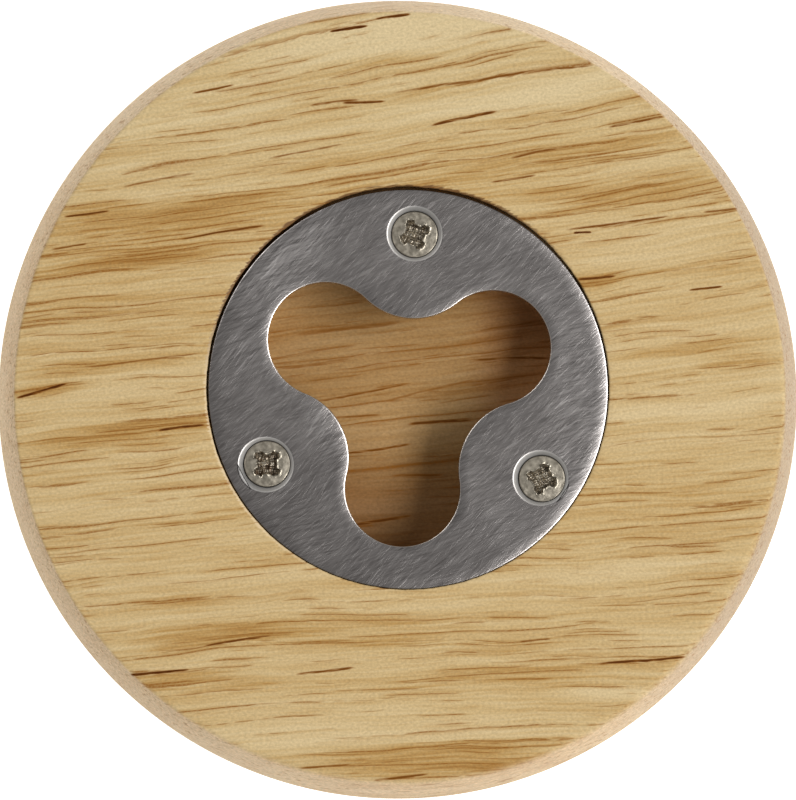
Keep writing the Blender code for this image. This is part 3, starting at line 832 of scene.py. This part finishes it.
# ---- screws --------------------------------------------------------------------------
def recess_depth(x, y, seed):
    """Depth of the cross recess below the head's face, in mm, for head coordinates."""
    reach, deep = 1.58, 0.62
    depth = np.zeros_like(x)
    for u, v in ((x, y), (y, x)):
        u, v = np.abs(u), np.abs(v)
        run = np.clip((reach - u - 0.5 * v) * 2.4, 0, deep)       # sloping end wall
        wall = np.clip((0.36 + 0.10 * u - v) * 4.0, 0, deep)      # wings flare outwards
        depth = np.maximum(depth, np.minimum(run, wall))
    # the four webs between the wings are cut back to a square
    square = np.clip((1.02 - np.abs(x) * 0.72 - np.abs(y) * 0.72) * 2.6, 0, deep * 0.8)
    depth = np.maximum(depth, square)
    pits = np.sin(6.1 * x + seed) * np.sin(5.3 * y + 2.1 * seed) + \
        0.6 * np.sin(11.7 * x + 1.7 * seed) * np.sin(12.9 * y + seed)
    return depth * (1 + 0.30 * pits)


def build_screw(name, centre, turn, seed, mat):
    rng = np.random.default_rng(seed)
    n, m = 192, 60
    a = 2 * np.pi * np.arange(n) / n
    rings = []
    # shank with a rolled thread: a ridge that climbs once round per pitch
    tip = -SCREW_LEN
    neck = -(0.12 + HEAD_R - SHANK_R) - 0.05
    pitch, core = 1.05, 0.86
    zs = np.linspace(tip, neck - 0.5, 150)
    for z in zs:
        taper = smoothstep(tip, tip + 2.6, np.array(z))
        phase = (z / pitch - a / (2 * np.pi)) % 1.0
        ridge = np.clip(1 - np.abs(phase - 0.5) / 0.30, 0, 1)
        crest = (SHANK_R - core) * ridge * smoothstep(neck - 0.5, neck - 1.2, np.array(z))
        r = (core + crest) * (0.04 + 0.96 * taper)
        rings.append(circle((0, 0), r, z, n))
    rings.append(circle((0, 0), core + 0.02, neck - 0.3, n))
    rings.append(circle((0, 0), SHANK_R - 0.16, neck, n))
    rings.append(circle((0, 0), HEAD_R - 0.07, -0.13, n))
    rings.append(circle((0, 0), HEAD_R - 0.01, -0.09, n))
    rim = 0.05
    for k in range(5):
        t = math.pi / 2 * k / 4
        rings.append(circle((0, 0), HEAD_R - rim * (1 - math.cos(t)),
                            -0.075 + rim * math.sin(t) - 0.005, n))
    # head face: slightly domed, recess pressed in with a burred lip
    burr = ring_noise(n, seed, ((24, 0.5), (60, 0.5)))
    lump = rng.uniform(-1, 1, (4, 3))
    for k in range(1, m):
        r = (HEAD_R - rim) * (1 - k / m)
        x, y = r * np.cos(a), r * np.sin(a)
        jx = x + 0.05 * np.sin(5.1 * y + seed) + 0.03 * np.sin(11.0 * y + 2.0 * seed)
        jy = y + 0.05 * np.sin(4.7 * x + 2.0 * seed) + 0.03 * np.sin(12.5 * x + seed)
        d = recess_depth(jx, jy, seed)
        near = recess_depth(jx * 0.90, jy * 0.90, seed)
        lip = np.where((d < 0.02) & (near > 0.02), 0.045 * (0.6 + burr), 0.0)
        dent = 0.012 * np.sin(3.1 * jx + seed) * np.sin(2.7 * jy - seed)
        z = -0.035 + 0.050 * (1 - (r / HEAD_R) ** 2) + dent + lip - d
        rings.append(circle((0, 0), r, z, n))
    rings = [np.stack([ring[:, 0], ring[:, 1], ring[:, 2]], 1) for ring in rings]
    c, s = math.cos(turn), math.sin(turn)
    moved = []
    for ring in rings:
        x = centre[0] + c * ring[:, 0] - s * ring[:, 1]
        y = centre[1] + s * ring[:, 0] + c * ring[:, 1]
        moved.append(np.stack([x, y, ring[:, 2] + HEAD_Z + 0.0], 1))
    verts, faces = skin(moved)
    return mesh_object(name, verts, faces, mat, sharp=55)


# ---- build ---------------------------------------------------------------------------
wood = build_wood(wood_material("light_hardwood"))
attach(wood, ROOT)
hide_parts("wooden_body")

plate = build_plate(steel_material("brushed_plate_steel"))
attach(plate, ROOT)
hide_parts("opener_plate")

for i, (_name, _c) in enumerate(SCREW_HEADS.items()):
    screw = build_screw(_name + "_fine", _c, math.radians(SCREW_TURNS[_name]), 5 + i,
                        nickel_material("screw_nickel_" + _name, _c, SCREW_SHADE_AND_DIRT[_name]))
    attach(screw, ROOT)
    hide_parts(_name)


# ---- floor, light, camera ------------------------------------------------------------
def plain_floor():
    mesh = bpy.data.meshes.new("floor")
    s = 6.0
    mesh.from_pydata([(-s, -s, 0), (s, -s, 0), (s, s, 0), (-s, s, 0)], [], [(0, 1, 2, 3)])
    ob = bpy.data.objects.new("floor", mesh)
    ob.location.z = -0.00002
    bpy.context.scene.collection.objects.link(ob)
    w = Nodes("floor_white")
    w.set(Base_Color=(0.60, 0.60, 0.60, 1.0), Roughness=0.9, Specular_IOR_Level=0.1,
          Emission_Color=(1.0, 1.0, 1.0, 1.0), Emission_Strength=1.00)
    mesh.materials.append(w.mat)
    return ob


def area_light(name, direction, distance, size, strength, long=None):
    data = bpy.data.lights.new(name, "AREA")
    data.shape = "DISK" if long is None else "RECTANGLE"
    data.size = size if long is None else long
    if long is not None:
        data.size_y = size                            # the short side points at the zenith
    data.energy = strength
    ob = bpy.data.objects.new(name, data)
    d = Vector(direction).normalized()
    ob.location = Vector((0, 0, 0.01)) + d * distance
    ob.rotation_mode = "QUATERNION"
    ob.rotation_quaternion = d.to_track_quat("Z", "Y")
    bpy.context.scene.collection.objects.link(ob)
    return ob


plain_floor()
world = bpy.data.worlds.new("studio")
bpy.context.scene.world = world
world.use_nodes = True
world.node_tree.nodes["Background"].inputs["Color"].default_value = (1.0, 1.0, 1.0, 1.0)
world.node_tree.nodes["Background"].inputs["Strength"].default_value = 0.26

area_light("key_right", (0.97, -0.22, 1.50), 1.10, 0.42, 11.6, long=0.90)
area_light("fill_left", (-0.70, 0.62, 0.85), 0.90, 0.45, 1.3)

# Camera: nearly straight down, leaning a few degrees to the lower left.
DIST = 1.2
PX_PER_MM = 10.04
LEAN = math.radians(2.85)
LEAN_DIR = (-0.604, -0.797)
aim = Vector((-0.219 * MM, -0.349 * MM, TOP * MM))
back = Vector((LEAN_DIR[0] * math.sin(LEAN), LEAN_DIR[1] * math.sin(LEAN), math.cos(LEAN)))
right = (Vector((1, 0, 0)) - back * back.x).normalized()
up = back.cross(right)
cam_data = bpy.data.cameras.new("camera")
cam_data.sensor_width = 36.0
cam_data.lens = PX_PER_MM * DIST * 1000 * 36.0 / 800.0
cam_data.clip_start, cam_data.clip_end = 0.05, 20.0
cam = bpy.data.objects.new("camera", cam_data)
bpy.context.scene.collection.objects.link(cam)
m = Matrix((right, up, back)).transposed().to_4x4()
m.translation = aim + back * DIST
cam.matrix_world = m
bpy.context.scene.camera = cam
bpy.context.scene.view_settings.view_transform = "Standard"

import json
